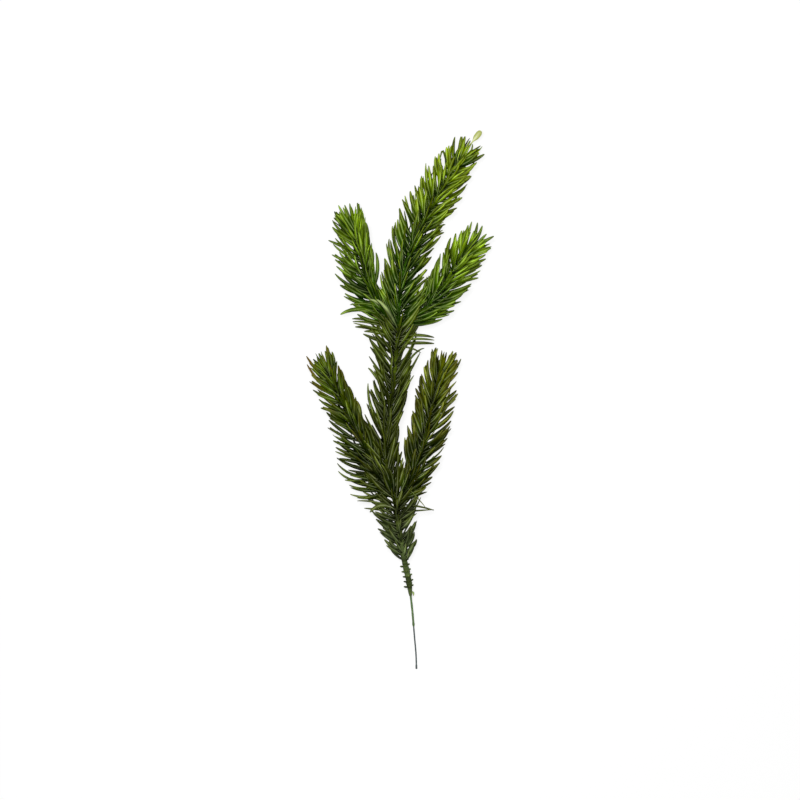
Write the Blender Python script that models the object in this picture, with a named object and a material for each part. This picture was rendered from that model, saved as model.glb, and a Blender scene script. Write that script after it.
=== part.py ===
# A spruce spray moulded in green plastic on a cut wire stem, lying on its back.
# Its tips point to +Y, its wire to -Y, and its lowest needles rest on Z = 0.
# Lengths below are in millimetres, and a mesh's points become metres as it is made.

import math
import random

import bmesh
import bpy
from mathutils import Vector
from mathutils.geometry import intersect_point_line

for old in list(bpy.data.objects):
    bpy.data.objects.remove(old, do_unlink=True)

MM = 0.001
UP = Vector((0, 0, 1))

# Driving dimensions of the moulding.
TWIG_RADIUS = 1.5
TWIG_END_RADIUS = 0.8
TWIG_SIDES = 6
RING_PITCH = 1.9
RING_TWIST = math.radians(17)
NEEDLE_WIDTH = 1.8
NEEDLE_THICKNESS = 1.4
NEEDLE_BELLIES = (0.68,)
STRAY_BELLIES = (0.3, 0.75)
NEEDLE_CURL = math.radians(9)
FLATTEST_LEAN = math.radians(9)
WIDEST_LEAN = math.radians(75)
BARE_END = 13.0
BUD_RADIUS = 0.6
BUD_SHOULDER = 0.55
STUB_LENGTH = 2.6
STUB_SLANT = 0.7
STUB_ROWS = range(2, 11)

# Driving dimensions of the stem below it.
SLEEVE_END_RADIUS = 0.8
SLEEVE_TAPER = 0.075
COATING_RADIUS = 0.55
COATING_BEAD_RADIUS = 0.8
WIRE_RADIUS = 0.38
BURR_RADIUS = 0.6
BURR_LENGTH = 2.2
COATING_BEAD_LENGTH = 1.2
WIRE_SIDES = 8

# The tag left at the leader's tip by the mould.
TAG_NECK_RADIUS = 0.5
TAG_SHOULDER_RADIUS = 0.62
TAG_HALF_WIDTH = 1.75
TAG_HALF_THICKNESS = 0.5
TAG_LENGTH = 8.5
# Its rings, as shares of its length and of its half width.
TAG_RINGS = [(0.28, 0.75), (0.55, 1.0), (0.85, 0.85), (1.0, 0.45)]

# Room kept between pieces, and above the table for a needle that lies on it.
GAP = 0.3
TABLE_LIFT = 0.8
SETTLE_SOFTNESS = 0.8
SAMPLE_STEP = 1.2
PIECE_ROOM = 0.55
NEEDLE_ROOM = 0.2
ROOT_ZONE = 2.5
ROOT_RADIUS = 1.4
ROOT_SWELL = 9.0
ROOM_CELL = 3.0
SLIDE_STEP = 0.1

# A needle without room is tried again: turned round the twig, as a share of its length, and
# folded forward by some radians.
NEEDLE_TRIES = [(0, 1, 0), (0.25, 1, 0), (-0.25, 1, 0), (0, 0.85, 0.15), (0.4, 0.85, 0), (-0.4, 0.85, 0),
                (0, 0.65, 0.2), (0.5, 0.65, 0), (-0.5, 0.65, 0)]
# A stray without room is tried again higher or lower, by these millimetres.
STRAY_LIFTS = (0, 1.5, -1.5, 3, -3, 4.5)

# Every axis from its root to its tip, as (x, y, height). The spine slopes up from the wire
# and carries the leader; the forks are the points where the side sprigs leave it.
WIRE = [(9.9, -161.4, 0.8), (9.6, -152, 1.2), (8.8, -143, 2.0), (8.2, -135.6, 2.9)]
COATING = [(8.2, -135.6, 2.9), (7.4, -126, 4.0), (6.4, -117, 5.2)]
LOWER_FORK = (-2.4, -60, 11.3)
UPPER_FORK = (-1.2, 45, 12.6)
SPINE = [(6.4, -117, 5.2), (5.1, -107, 6.4), (2.7, -96, 7.7), (-0.3, -78, 9.8), (-1.5, -69, 10.7),
         LOWER_FORK, (-5.4, -51, 11.7), (-7.8, -40.8, 12.0), (-9, -30, 12.1), (-7.8, -18, 12.2),
         (-4.5, 6, 12.3), (-2.1, 30, 12.5), UPPER_FORK, (-0.6, 58, 13.0), (2.4, 78, 13.2),
         (10.8, 101.4, 13.0), (21.6, 121.2, 12.4), (31.8, 138.6, 11.4), (40.8, 151.8, 10.5), (48.6, 162, 9.8)]
UPPER_LEFT = [(-1.2, 44, 12.5), (-9, 52.5, 12.8), (-16, 62, 12.9), (-20, 73, 12.7), (-23.5, 87.5, 12.0),
              (-26.5, 101, 10.7), (-29.5, 117, 8.6)]
UPPER_RIGHT = [(-1.2, 44.5, 12.5), (8, 49.5, 12.8), (17, 57.5, 12.9), (25.5, 69, 12.6), (33.5, 81, 11.7),
               (41, 91, 10.4), (47, 99, 9.2)]
LOWER_LEFT = [(-2.4, -60, 11.3), (-10.5, -47.5, 11.5), (-21, -28, 11.6), (-29.5, -10, 11.0),
              (-36.5, 3.5, 10.2), (-41, 13, 9.3), (-45, 21.5, 8.4), (-49, 29, 7.5)]
LOWER_RIGHT = [(-2.4, -61, 11.2), (4.8, -51.6, 11.6), (11.4, -33, 11.8), (16.8, -13.8, 11.3),
               (22.8, 12.6, 9.6), (26.4, 29, 8)]

# How far needles reach from the axis and how long they are, as steps of
# (share of the twig, reach to the left, reach to the right, length on the left, length on the right).
LOWER_REACH = [(0.3, 6.5, 6.5, 10, 10), (0.5, 11, 11, 15, 15), (0.8, 15, 14, 19, 18),
               (1.0, 19.5, 17.5, 23, 21)]
MIDDLE_REACH = [(0.0, 15, 13, 22, 22), (0.3, 14.5, 9, 22, 21), (0.6, 14.5, 11.5, 23, 22),
                (0.85, 18, 16, 24, 23), (1.0, 19.5, 18, 25, 24)]
LEADER_REACH = [(0.0, 14, 15, 24, 22), (0.25, 15, 16, 25, 23), (0.5, 17, 14.5, 25, 22),
                (0.8, 16.5, 13, 24, 21), (0.93, 12.5, 11, 20, 19), (1.0, 6, 7.5, 17, 17)]
UPPER_LEFT_REACH = [(0.0, 14, 9, 22, 20), (0.3, 16.5, 8.5, 24, 22), (0.75, 16.5, 8.5, 23, 21),
                    (0.92, 12, 7, 19, 18), (1.0, 7, 5, 16, 16)]
UPPER_RIGHT_REACH = [(0.0, 10, 12, 20, 22), (0.2, 11, 14, 20, 24), (0.5, 12, 15, 20, 24),
                     (0.75, 10.5, 13.5, 19, 22), (0.92, 8.5, 9.5, 17, 18), (1.0, 6, 7, 15, 15)]
LOWER_LEFT_REACH = [(0.0, 20, 8, 24, 20), (0.25, 19, 7.5, 24, 20), (0.5, 15, 7.5, 22, 20),
                    (0.8, 12, 8, 20, 18), (0.93, 10, 7, 17, 16), (1.0, 7, 6, 15, 15)]
LOWER_RIGHT_REACH = [(0.0, 10.5, 12, 21, 21), (0.3, 12.5, 16, 22, 23), (0.7, 12.5, 14, 21, 21),
                     (0.92, 9, 11.5, 18, 18), (1.0, 5.5, 7, 15, 15)]
TOP_REACH = 0.85
UNDER_REACH = 0.85

# Single needles that stand out in the outline: root, bend and tip.
UPPER_LEFT_STRAYS = [
    ((-8.4, 51.5, 12), (-24, 54.5, 14), (-35.4, 51.6, 9)),
    ((-11, 55.0, 15), (-20, 58.2, 17), (-30, 57.5, 15)),
]
UPPER_RIGHT_STRAYS = [
    ((41.5, 89.5, 11), (49, 93.6, 13), (56.4, 98.4, 12)),
]
MIDDLE_STRAYS = [
    ((-3, 43, 14), (-17, 48.2, 14), (-28.8, 49.2, 11)),
    ((-3, 33, 13), (-13.5, 36.6, 14), (-22.2, 40.2, 12)),
    ((-3, 39, 12), (-16, 43.4, 10), (-27, 44.4, 7)),
    ((-2, 38, 14), (10, 40.0, 16), (21, 38.4, 14)),
    ((-2, 34, 12), (10, 34.6, 11), (21, 34.2, 9)),
    ((-6, 13, 12), (-13.5, 21, 12), (-18.6, 27.5, 9)),
]
LOWER_LEFT_STRAYS = [
    ((-45.5, 14, 9), (-51, 21, 9), (-56.4, 27, 8)),
    ((-8.4, -54, 11), (-20, -54.6, 10), (-30.6, -50.4, 8)),
]
LOWER_STRAYS = [
    ((-2.4, -64, 12), (-15.0, -61.0, 13), (-25.8, -59.6, 10)),
    ((-2.0, -68, 9), (-12.6, -66.0, 8), (-21.6, -66.5, 5)),
    ((-0.6, -62, 12), (10.8, -63.2, 13), (20.4, -65.7, 10)),
    ((0, -69, 9), (8.5, -69.0, 8), (15.6, -68.2, 6)),
]


def between(low, high, share):
    return low + (high - low) * share


def read_steps(steps, share):
    """The values at a share of the way along, from steps that begin with their own share."""
    if share <= steps[0][0]:
        return steps[0][1:]
    for before, after in zip(steps, steps[1:]):
        if share <= after[0]:
            part = (share - before[0]) / (after[0] - before[0])
            return tuple(between(a, b, part) for a, b in zip(before[1:], after[1:]))
    return steps[-1][1:]


class Route:
    """A smooth axis through points laid out by hand, read by its length."""

    def __init__(self, knots, steps_per_span=12):
        knots = [Vector(knot) for knot in knots]
        ends = [2 * knots[0] - knots[1]] + knots + [2 * knots[-1] - knots[-2]]
        self.points = []
        for p0, p1, p2, p3 in zip(ends, ends[1:], ends[2:], ends[3:]):
            for step in range(steps_per_span):
                t = step / steps_per_span
                self.points.append(0.5 * (2 * p1 + (p2 - p0) * t + (2 * p0 - 5 * p1 + 4 * p2 - p3) * t ** 2
                                          + (3 * p1 - p0 - 3 * p2 + p3) * t ** 3))
        self.points.append(knots[-1])
        self.stations = [0]
        for a, b in zip(self.points, self.points[1:]):
            self.stations.append(self.stations[-1] + (b - a).length)
        self.length = self.stations[-1]
        self.steps_per_span = steps_per_span

    def station_of_knot(self, index):
        return self.stations[index * self.steps_per_span]

    def point(self, station):
        for i in range(len(self.points) - 1):
            if station <= self.stations[i + 1] or i == len(self.points) - 2:
                part = (station - self.stations[i]) / (self.stations[i + 1] - self.stations[i])
                return self.points[i].lerp(self.points[i + 1], part)

    def frame(self, station):
        """The point, and the unit vectors along the axis, to its right and up."""
        ahead = (self.point(station + 0.5) - self.point(station - 0.5)).normalized()
        right = ahead.cross(UP).normalized()
        return self.point(station), ahead, right, right.cross(ahead)

    def distance(self, point):
        nearest = []
        for a, b in zip(self.points, self.points[1:]):
            on_line, share = intersect_point_line(point, a, b)
            on_line = a if share < 0 else b if share > 1 else on_line
            nearest.append((point - on_line).length)
        return min(nearest)


def settle(point):
    """Bends a point that would be under the table up onto it."""
    over = (point.z - TABLE_LIFT) / SETTLE_SOFTNESS
    if over < 20:
        point.z = TABLE_LIFT + SETTLE_SOFTNESS * math.log1p(math.exp(over))
    return point


def needle_radius(from_root):
    """Half a needle's width, which swells where it springs from its face of the twig."""
    return max(NEEDLE_WIDTH / 2, ROOT_RADIUS * (1 - from_root / ROOT_SWELL))


class Room:
    """Remembers where needles and twigs are, so that a new needle grows clear of them."""

    def __init__(self):
        self.cells = {}

    def cell(self, point):
        return tuple(int(math.floor(value / ROOM_CELL)) for value in point)

    def add_twig_point(self, piece, point, radius):
        self.cells.setdefault(self.cell(point), []).append((piece, point, radius, None))

    def add_needle(self, piece, path):
        for point in path:
            from_root = (point - path[0]).length
            entry = (piece, point, needle_radius(from_root), from_root)
            self.cells.setdefault(self.cell(point), []).append(entry)

    def is_free(self, piece, path):
        """Whether a path keeps clear of other pieces, and of its own piece's other needles."""
        for point in path:
            from_root = (point - path[0]).length
            radius = needle_radius(from_root)
            x, y, z = self.cell(point)
            near = [(x + i, y + j, z + k) for i in (-1, 0, 1) for j in (-1, 0, 1) for k in (-1, 0, 1)]
            for entry in (entry for key in near for entry in self.cells.get(key, ())):
                owner, other, other_radius, other_from_root = entry
                wanted = radius + other_radius + PIECE_ROOM
                if owner == piece:
                    rooted = other_from_root is None or max(from_root, other_from_root) < ROOT_ZONE
                    wanted = 0 if rooted else radius + other_radius + NEEDLE_ROOM
                if (point - other).length < wanted:
                    return False
        return True


def needle_path(root, ahead, outward, length, mean_angle):
    """A needle's centre line, which leaves the twig steeply and turns along it."""
    count = max(4, round(length / SAMPLE_STEP))
    path = [root.copy()]
    for step in range(count):
        angle = mean_angle + NEEDLE_CURL * (1 - 2 * (step + 0.5) / count)
        heading = ahead * math.cos(angle) + outward * math.sin(angle)
        path.append(path[-1] + heading * (length / count))
    return [path[0]] + [settle(point.copy()) for point in path[1:]]


def bent_path(root, bend, tip):
    """A centre line from the root through the bend to the tip."""
    count = max(6, round(((bend - root).length + (tip - bend).length) / SAMPLE_STEP))
    handle = 2 * bend - (root + tip) / 2
    shares = [step / count for step in range(count + 1)]
    return [root * (1 - t) ** 2 + handle * 2 * t * (1 - t) + tip * t ** 2 for t in shares]


class Moulding:
    """One piece of the moulding: a twig with its needles grown out of its faces."""

    def __init__(self, name, route, room):
        self.name = name
        self.route = route
        self.room = room
        self.mesh = bmesh.new()
        self.rings = []
        self.cells = {}
        self.hub = None
        self.first_row = 0

    def add_ring(self, station, wide, tall, turn):
        centre, ahead, right, up = self.route.frame(station)
        ring = []
        for side in range(TWIG_SIDES):
            angle = turn + side * 2 * math.pi / TWIG_SIDES
            corner = centre + right * wide * math.cos(angle) + up * tall * math.sin(angle)
            ring.append(self.mesh.verts.new(corner))
        self.rings.append(ring)
        if len(self.rings) > 1:
            row = len(self.rings) - 2
            below = self.rings[-2]
            for side in range(TWIG_SIDES):
                after = (side + 1) % TWIG_SIDES
                self.cells[row, side] = (below[side], below[after], ring[after], ring[side])

    def saddle_root(self, parent):
        """Slides the first ring back until it meets the twig that it branches from."""
        centre, ahead, right, up = self.route.frame(self.first_station)
        self.first_row = 1
        self.hub = self.mesh.verts.new(centre)
        for vert in self.rings[0] + [self.hub]:
            while parent.distance(vert.co - ahead * SLIDE_STEP) > TWIG_RADIUS + GAP:
                vert.co = vert.co - ahead * SLIDE_STEP
            self.room.add_twig_point(self.name, vert.co.copy(), TWIG_RADIUS)

    def centre(self, key):
        return sum((vert.co for vert in self.cells[key]), Vector()) / 4

    def grow(self, key, path, bellies):
        """Turns a face of the twig into a needle, full at its bellies and pointed at its tip."""
        ring = list(self.cells.pop(key))
        rightward = ring[1].co - ring[0].co
        backward = ring[0].co - ring[3].co
        for belly in bellies:
            index = round(belly * (len(path) - 1))
            heading = (path[index + 1] - path[index - 1]).normalized()
            across = (rightward - heading * rightward.dot(heading)).normalized()
            outward = backward - heading * backward.dot(heading)
            outward = (outward - across * outward.dot(across)).normalized()
            across = across * NEEDLE_WIDTH / 2
            outward = outward * NEEDLE_THICKNESS / 2
            corners = [outward - across, outward + across, across - outward, -across - outward]
            belly_ring = [self.mesh.verts.new(path[index] + corner) for corner in corners]
            for side in range(4):
                after = (side + 1) % 4
                self.mesh.faces.new((ring[side], ring[after], belly_ring[after], belly_ring[side]))
            ring = belly_ring
        tip = self.mesh.verts.new(path[-1])
        for side in range(4):
            self.mesh.faces.new((ring[side], ring[(side + 1) % 4], tip))
        self.room.add_needle(self.name, path)

    def try_needle(self, key, reach, lengths, draw):
        """Grows a needle where there is room for it, else a turned or shorter one."""
        root = self.centre(key)
        station = self.station_of(key)
        centre, ahead, right, up = self.route.frame(station)
        radial = root - centre
        radial = (radial - ahead * radial.dot(ahead)).normalized()
        phase = math.atan2(radial.dot(up), radial.dot(right)) + draw.uniform(-0.1, 0.1)
        length = between(*lengths, 0.5 + 0.5 * math.cos(phase)) * draw.uniform(0.9, 1.06)
        spread = draw.uniform(-0.07, 0.07)
        for turn, shrink, fold in NEEDLE_TRIES:
            outward = right * math.cos(phase + turn) + up * math.sin(phase + turn)
            wanted = self.reach_towards(phase + turn, reach)
            lean = math.asin(min(1, (wanted - TWIG_RADIUS) / length)) + spread - fold
            lean = min(WIDEST_LEAN, max(FLATTEST_LEAN, lean))
            path = needle_path(root, ahead, outward, length * shrink, lean)
            if self.room.is_free(self.name, path):
                self.grow(key, path, NEEDLE_BELLIES)
                return

    def station_of(self, key):
        return self.first_station + (key[0] + 0.5) * self.pitch

    @staticmethod
    def reach_towards(phase, reach):
        left, right = reach
        flat, steep = math.cos(phase) ** 2, math.sin(phase) ** 2
        side = right if math.cos(phase) > 0 else left
        over = TOP_REACH if math.sin(phase) > 0 else UNDER_REACH
        return side * flat + over * 0.5 * (left + right) * steep

    def add_strays(self, strays):
        """Grows each stray needle out of the free face nearest to its root."""
        for root, bend, tip in strays:
            root, bend, tip = Vector(root), Vector(bend), Vector(tip)
            free = [cell for cell in self.cells if cell[0] >= self.first_row]
            key = min(free, key=lambda cell: (self.centre(cell) - root).length
                      + 0.6 * (self.centre(cell) - bend).length)
            for lift in STRAY_LIFTS:
                path = bent_path(self.centre(key), bend + UP * lift, tip + UP * lift)
                if self.room.is_free(self.name, path):
                    self.grow(key, path, STRAY_BELLIES)
                    break

    def add_twig(self, first, last, radius_at):
        count = max(2, round((last - first) / RING_PITCH))
        self.first_station = first
        self.pitch = (last - first) / count
        for ring in range(count + 1):
            radius = radius_at(ring / count)
            self.add_ring(first + ring * self.pitch, radius, radius, ring * RING_TWIST)
        station = first
        while station < last:
            self.room.add_twig_point(self.name, self.route.point(station), TWIG_RADIUS)
            station += SAMPLE_STEP

    def add_needles(self, reach_steps, seed, from_share=0.0):
        """Fills every other face of the twig with a needle, row by row."""
        draw = random.Random(seed)
        rows = 1 + max(row for row, side in self.cells)
        for row in range(self.first_row, rows):
            share = (row + 0.5) / rows
            left, right, *lengths = read_steps(reach_steps, share)
            for side in range(TWIG_SIDES):
                wanted = (row + side) % 2 == 0 or row >= rows - 2
                if share >= from_share and wanted and (row, side) in self.cells:
                    self.try_needle((row, side), (left, right), lengths, draw)

    def add_bud(self):
        """Ends the twig in its last needle, which runs straight on."""
        last = self.route.length
        start = self.first_station + self.pitch * (len(self.rings) - 1)
        turn = (len(self.rings) - 1) * RING_TWIST
        self.add_ring(between(start, last, BUD_SHOULDER), BUD_RADIUS, BUD_RADIUS, turn)
        tip = self.mesh.verts.new(self.route.point(last))
        ring = self.rings[-1]
        for side in range(TWIG_SIDES):
            self.mesh.faces.new((ring[side], ring[(side + 1) % TWIG_SIDES], tip))

    def finish(self, colour, roughness, close_end):
        for cell in self.cells.values():
            self.mesh.faces.new(cell)
        root = self.rings[0]
        if self.hub is None:
            self.mesh.faces.new(list(reversed(root)))
        else:
            for vert, after in zip(root, root[1:] + root[:1]):
                self.mesh.faces.new((self.hub, after, vert))
        if close_end:
            self.mesh.faces.new(self.rings[-1])
        return make_object(self.name, self.mesh, colour, roughness, 0.0)


def make_object(name, mesh, colour, roughness, metallic):
    """Turns a mesh in millimetres into a named object in metres with its own material."""
    bmesh.ops.recalc_face_normals(mesh, faces=mesh.faces)
    if mesh.calc_volume(signed=True) < 0:
        bmesh.ops.reverse_faces(mesh, faces=mesh.faces)
    bmesh.ops.scale(mesh, vec=(MM, MM, MM), verts=mesh.verts)
    data = bpy.data.meshes.new(name)
    mesh.to_mesh(data)
    mesh.free()
    material = bpy.data.materials.new(name)
    material.use_nodes = True
    shader = material.node_tree.nodes["Principled BSDF"]
    shader.inputs["Base Color"].default_value = (*colour, 1)
    shader.inputs["Roughness"].default_value = roughness
    shader.inputs["Metallic"].default_value = metallic
    data.materials.append(material)
    piece = bpy.data.objects.new(name, data)
    bpy.context.scene.collection.objects.link(piece)
    return piece


def round_rod(name, route, profile, colour, roughness, metallic):
    """A round rod along a route, whose profile lists (station, radius)."""
    mesh = bmesh.new()
    rings = []
    for station, radius in profile:
        centre, ahead, right, up = route.frame(station)
        ring = []
        for side in range(WIRE_SIDES):
            angle = side * 2 * math.pi / WIRE_SIDES
            ring.append(mesh.verts.new(centre + (right * math.cos(angle) + up * math.sin(angle)) * radius))
        rings.append(ring)
    for below, above in zip(rings, rings[1:]):
        for side in range(WIRE_SIDES):
            after = (side + 1) % WIRE_SIDES
            mesh.faces.new((below[side], below[after], above[after], above[side]))
    mesh.faces.new(list(reversed(rings[0])))
    mesh.faces.new(rings[-1])
    piece = make_object(name, mesh, colour, roughness, metallic)
    piece.data.shade_smooth()
    piece.data.set_sharp_from_angle(angle=math.radians(40))
    return piece


def sprig_radius(share):
    return between(TWIG_RADIUS, TWIG_END_RADIUS, share ** 2)


def stem_radius(share):
    """The lower stem swells from the sleeve's narrow end to a full twig."""
    return between(SLEEVE_END_RADIUS, TWIG_RADIUS, min(1, share / SLEEVE_TAPER))


def clear_root(route, parent):
    """The station at which a side twig has left the twig that it branches from."""
    station = 0.0
    while parent.distance(route.point(station)) < 2 * TWIG_RADIUS + GAP:
        station += 2 * SLIDE_STEP
    return station


# The plastic's colours, lighter and yellower towards the spray's top, and the wire's.
OLD_GREEN = (0.045, 0.065, 0.014)
MID_GREEN = (0.060, 0.100, 0.014)
FRESH_GREEN = (0.085, 0.145, 0.016)
PLASTIC_ROUGHNESS = 0.45
COATING_GREEN = (0.10, 0.145, 0.06)
WIRE_GREY = (0.11, 0.135, 0.12)
WIRE_ROUGHNESS = 0.4
WIRE_METALLIC = 0.9

wire_route = Route(WIRE)
coating_route = Route(COATING)
spine = Route(SPINE)
lower_fork = spine.station_of_knot(SPINE.index(LOWER_FORK))
upper_fork = spine.station_of_knot(SPINE.index(UPPER_FORK))
leader_twig_end = spine.length - BARE_END - TAG_LENGTH
room = Room()

# Twigs come first, so that every needle knows where all of them are.
lower_stem = Moulding("lower_stem", spine, room)
lower_stem.add_twig(GAP, lower_fork - GAP / 2, stem_radius)
middle_stem = Moulding("middle_stem", spine, room)
middle_stem.add_twig(lower_fork + GAP / 2, upper_fork - GAP / 2, lambda share: TWIG_RADIUS)
leader = Moulding("leader", spine, room)
leader.add_twig(upper_fork + GAP / 2, leader_twig_end, sprig_radius)

side_sprigs = []
for name, knots in (("upper_left_sprig", UPPER_LEFT), ("upper_right_sprig", UPPER_RIGHT),
                    ("lower_left_sprig", LOWER_LEFT), ("lower_right_sprig", LOWER_RIGHT)):
    route = Route(knots)
    sprig = Moulding(name, route, room)
    sprig.add_twig(clear_root(route, spine), route.length - BARE_END, sprig_radius)
    sprig.saddle_root(spine)
    side_sprigs.append(sprig)
upper_left, upper_right, lower_left, lower_right = side_sprigs

# Strays take their room before the ordinary needles.
lower_stem.add_strays(LOWER_STRAYS)
middle_stem.add_strays(MIDDLE_STRAYS)
upper_left.add_strays(UPPER_LEFT_STRAYS)
upper_right.add_strays(UPPER_RIGHT_STRAYS)
lower_left.add_strays(LOWER_LEFT_STRAYS)

leader.add_needles(LEADER_REACH, seed=3)
middle_stem.add_needles(MIDDLE_REACH, seed=2)
upper_left.add_needles(UPPER_LEFT_REACH, seed=4)
upper_right.add_needles(UPPER_RIGHT_REACH, seed=5)
lower_left.add_needles(LOWER_LEFT_REACH, seed=6)
lower_right.add_needles(LOWER_RIGHT_REACH, seed=7)
lower_stem.add_needles(LOWER_REACH, seed=1, from_share=0.34)

# Cut-off needle stubs stand on the bare sleeve, below the first needles.
for row in STUB_ROWS:
    for side in range(row % 2, TWIG_SIDES, 2):
        key = (row, side)
        if key not in lower_stem.cells:
            continue
        root = lower_stem.centre(key)
        centre, ahead, right, up = spine.frame(lower_stem.station_of(key))
        outward = (root - centre).normalized()
        tip = lower_stem.mesh.verts.new(root + (outward + ahead * STUB_SLANT).normalized() * STUB_LENGTH)
        corners = lower_stem.cells.pop(key)
        for corner, after in zip(corners, corners[1:] + corners[:1]):
            lower_stem.mesh.faces.new((corner, after, tip))

# The leader's twig thins to a neck, and ends in the flat mould tag.
tag_start = spine.length - TAG_LENGTH
tag_turn = (len(leader.rings) - 1) * RING_TWIST
leader.add_ring(between(leader_twig_end, tag_start, 0.5), TAG_SHOULDER_RADIUS, TAG_SHOULDER_RADIUS, tag_turn)
leader.add_ring(tag_start, TAG_NECK_RADIUS, TAG_NECK_RADIUS, tag_turn)
for along, wide in TAG_RINGS:
    leader.add_ring(tag_start + along * TAG_LENGTH, wide * TAG_HALF_WIDTH, TAG_HALF_THICKNESS, tag_turn)

pieces = [
    lower_stem.finish(OLD_GREEN, PLASTIC_ROUGHNESS, close_end=True),
    middle_stem.finish(MID_GREEN, PLASTIC_ROUGHNESS, close_end=True),
    leader.finish(FRESH_GREEN, PLASTIC_ROUGHNESS, close_end=True),
]
for sprig, colour in zip(side_sprigs, (FRESH_GREEN, FRESH_GREEN, OLD_GREEN, OLD_GREEN)):
    sprig.add_bud()
    pieces.append(sprig.finish(colour, PLASTIC_ROUGHNESS, close_end=False))

# The wire's green coating ends in a small bead, and the bare wire in a cut burr.
coating_end = coating_route.length
pieces.append(round_rod(
    "wire_coating", coating_route,
    [(GAP / 2, COATING_RADIUS), (COATING_BEAD_LENGTH, COATING_BEAD_RADIUS),
     (2 * COATING_BEAD_LENGTH, COATING_BEAD_RADIUS), (3 * COATING_BEAD_LENGTH, COATING_RADIUS),
     (0.5 * coating_end, COATING_RADIUS), (coating_end, COATING_RADIUS)],
    COATING_GREEN, PLASTIC_ROUGHNESS, 0.0))
pieces.append(round_rod(
    "wire_stem", wire_route,
    [(0.0, 0.8 * BURR_RADIUS), (0.4, BURR_RADIUS), (BURR_LENGTH, BURR_RADIUS),
     (BURR_LENGTH + BURR_RADIUS, WIRE_RADIUS)]
    + [(wire_route.length * share, WIRE_RADIUS) for share in (0.3, 0.5, 0.75)]
    + [(wire_route.length - GAP / 2, WIRE_RADIUS)],
    WIRE_GREY, WIRE_ROUGHNESS, WIRE_METALLIC))

# All pieces hang on one empty, which sets the spray's box over the origin and on Z = 0.
corners = [vert.co for piece in pieces for vert in piece.data.vertices]
lowest = [min(corner[axis] for corner in corners) for axis in range(3)]
highest = [max(corner[axis] for corner in corners) for axis in range(3)]
spray = bpy.data.objects.new("spray", None)
bpy.context.scene.collection.objects.link(spray)
spray.location = (-(lowest[0] + highest[0]) / 2, -(lowest[1] + highest[1]) / 2, -lowest[2])
for piece in pieces:
    piece.parent = spray
bpy.context.view_layer.update()
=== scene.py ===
import math
import random

import bpy
import numpy as np
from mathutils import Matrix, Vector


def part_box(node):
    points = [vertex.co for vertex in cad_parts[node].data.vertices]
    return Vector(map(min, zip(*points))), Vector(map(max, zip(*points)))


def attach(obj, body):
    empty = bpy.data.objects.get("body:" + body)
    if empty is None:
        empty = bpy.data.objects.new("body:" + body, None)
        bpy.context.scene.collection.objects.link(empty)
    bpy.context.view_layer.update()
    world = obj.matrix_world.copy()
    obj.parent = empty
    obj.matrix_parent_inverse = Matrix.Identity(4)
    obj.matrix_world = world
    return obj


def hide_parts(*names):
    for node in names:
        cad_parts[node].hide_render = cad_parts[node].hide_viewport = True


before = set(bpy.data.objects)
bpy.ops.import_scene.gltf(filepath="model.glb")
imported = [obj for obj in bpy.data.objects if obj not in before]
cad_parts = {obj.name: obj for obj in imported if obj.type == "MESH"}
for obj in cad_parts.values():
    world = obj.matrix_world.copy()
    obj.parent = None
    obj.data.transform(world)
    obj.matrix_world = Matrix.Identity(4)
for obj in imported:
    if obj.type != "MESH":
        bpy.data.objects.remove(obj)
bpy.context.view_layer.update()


# The wire: thin steel florist's wire, dulled to a grey-green, that the moulding was pushed onto.
# Pliers cut it to length and crushed its last two millimetres into a thicker, darker burr.

MM = 0.001
WIRE_KNOTS = [(9.9, -161.4, 0.8), (9.6, -152, 1.2), (8.8, -143, 2.0), (8.2, -135.6, 2.9)]
WIRE_RADIUS = 0.44
WIRE_FLATNESS = 0.9
WIRE_WAVER = 0.015
WIRE_PITCH = 1.5
BURR_RADIUS = 0.6
BURR_LENGTH = 2.4
# The burr's crushed outline: how far from the cut end, and the share of its radius there.
BURR_OUTLINE = np.array([(0.15, 0.75), (0.5, 1.0), (1.2, 0.92), (1.9, 1.0), (BURR_LENGTH, 0.86)])
WIRE_GREY = (0.040, 0.070, 0.066)
BURR_GREY = (0.060, 0.078, 0.078)

# The part was moved to centre its box. The box of the wire's solid shows how far: it begins at
# the cut end, and one burr radius below the middle of the wire there.
wire_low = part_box("wire_stem")[0]
MOVED = np.array([0, wire_low[1] / MM - WIRE_KNOTS[0][1],
                  wire_low[2] / MM - WIRE_KNOTS[0][2] + BURR_RADIUS])


class Axis:
    """A smooth line through given points, in millimetres, read by its length."""

    SPANS = 24
    HALF_STEP = 0.6

    def __init__(self, knots):
        knots = np.array(knots, float)
        ends = np.vstack([2 * knots[0] - knots[1], knots, 2 * knots[-1] - knots[-2]])
        curve = []
        for p0, p1, p2, p3 in zip(ends, ends[1:], ends[2:], ends[3:]):
            for t in np.linspace(0, 1, self.SPANS, endpoint=False):
                curve.append(0.5 * (2 * p1 + (p2 - p0) * t
                                    + (2 * p0 - 5 * p1 + 4 * p2 - p3) * t ** 2
                                    + (3 * p1 - p0 - 3 * p2 + p3) * t ** 3))
        self.points = np.array(curve + [knots[-1]])
        steps = np.linalg.norm(np.diff(self.points, axis=0), axis=1)
        self.stations = np.r_[0, np.cumsum(steps)]
        self.length = self.stations[-1]

    def knot_station(self, index):
        return self.stations[index * self.SPANS]

    def point(self, station):
        return np.array([np.interp(station, self.stations, self.points[:, i]) for i in range(3)])

    def at(self, station):
        """The point, and unit vectors along the line, to its right and up from it."""
        ahead = unit(self.point(station + self.HALF_STEP) - self.point(station - self.HALF_STEP))
        right = unit(np.cross(ahead, (0, 0, 1)))
        return self.point(station), ahead, right, np.cross(right, ahead)


def unit(vector):
    return vector / np.linalg.norm(vector, axis=-1, keepdims=True)


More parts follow.
